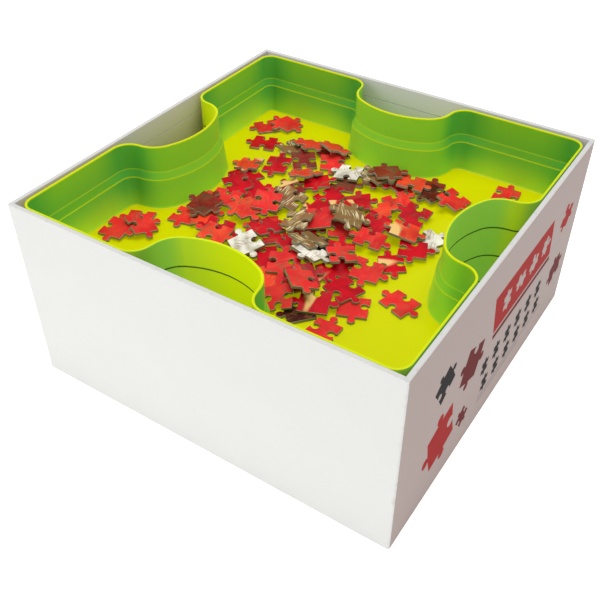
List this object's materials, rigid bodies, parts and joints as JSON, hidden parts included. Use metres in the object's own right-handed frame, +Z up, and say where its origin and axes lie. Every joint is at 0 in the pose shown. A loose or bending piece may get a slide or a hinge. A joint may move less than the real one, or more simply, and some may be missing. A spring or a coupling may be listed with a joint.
{
  "type": "jigsaw puzzle storage case",
  "caption": "Open square cardboard box holding a stack of lime-green nesting sorting trays with finger bays, loose jigsaw pieces heaped in the top tray.",
  "frame": {"origin": "middle of the box's underside", "axes": "+Z up out of the open box, +X to the box's right side, +Y to its back"},
  "size_m": [0.27, 0.27, 0.1367],
  "materials": {
    "greyboard": "matt",
    "stay_paper": "matt",
    "white_paper": "satin",
    "liner_paper": "matt",
    "lime_plastic": "satin",
    "scarlet_card": "satin",
    "crimson_card": "satin",
    "orange_card": "satin",
    "maroon_card": "satin",
    "cream_card": "satin",
    "khaki_card": "satin",
    "coal_card": "satin"
  },
  "bodies": {
    "box": {"base_board": "greyboard", "front_wall_board": "greyboard", "back_wall_board": "greyboard", "left_wall_board": "greyboard", "right_wall_board": "greyboard", "front_left_corner_stay": "stay_paper", "front_right_corner_stay": "stay_paper", "back_left_corner_stay": "stay_paper", "back_right_corner_stay": "stay_paper", "outer_wrap": "white_paper", "inner_liner": "liner_paper", "base_sheet": "white_paper"},
    "tray_1": {"tray_1": "lime_plastic"},
    "tray_2": {"tray_2": "lime_plastic"},
    "tray_3": {"tray_3": "lime_plastic"},
    "tray_4": {"tray_4": "lime_plastic"},
    "tray_5": {"tray_5": "lime_plastic", "scarlet_jigsaw_pieces": "scarlet_card", "crimson_jigsaw_pieces": "crimson_card", "orange_jigsaw_pieces": "orange_card", "maroon_jigsaw_pieces": "maroon_card", "cream_jigsaw_pieces": "cream_card", "khaki_jigsaw_pieces": "khaki_card", "coal_jigsaw_pieces": "coal_card"}
  },
  "joints": [
    {"name": "tray_1_lift", "type": "slide", "parent": "box", "child": "tray_1", "axis": [0, 0, 1], "range_m": [0, 0.14]},
    {"name": "tray_2_lift", "type": "slide", "parent": "tray_1", "child": "tray_2", "axis": [0, 0, 1], "range_m": [0, 0.118]},
    {"name": "tray_3_lift", "type": "slide", "parent": "tray_2", "child": "tray_3", "axis": [0, 0, 1], "range_m": [0, 0.097]},
    {"name": "tray_4_lift", "type": "slide", "parent": "tray_3", "child": "tray_4", "axis": [0, 0, 1], "range_m": [0, 0.075]},
    {"name": "tray_5_lift", "type": "slide", "parent": "tray_4", "child": "tray_5", "axis": [0, 0, 1], "range_m": [0, 0.054]}
  ]
}
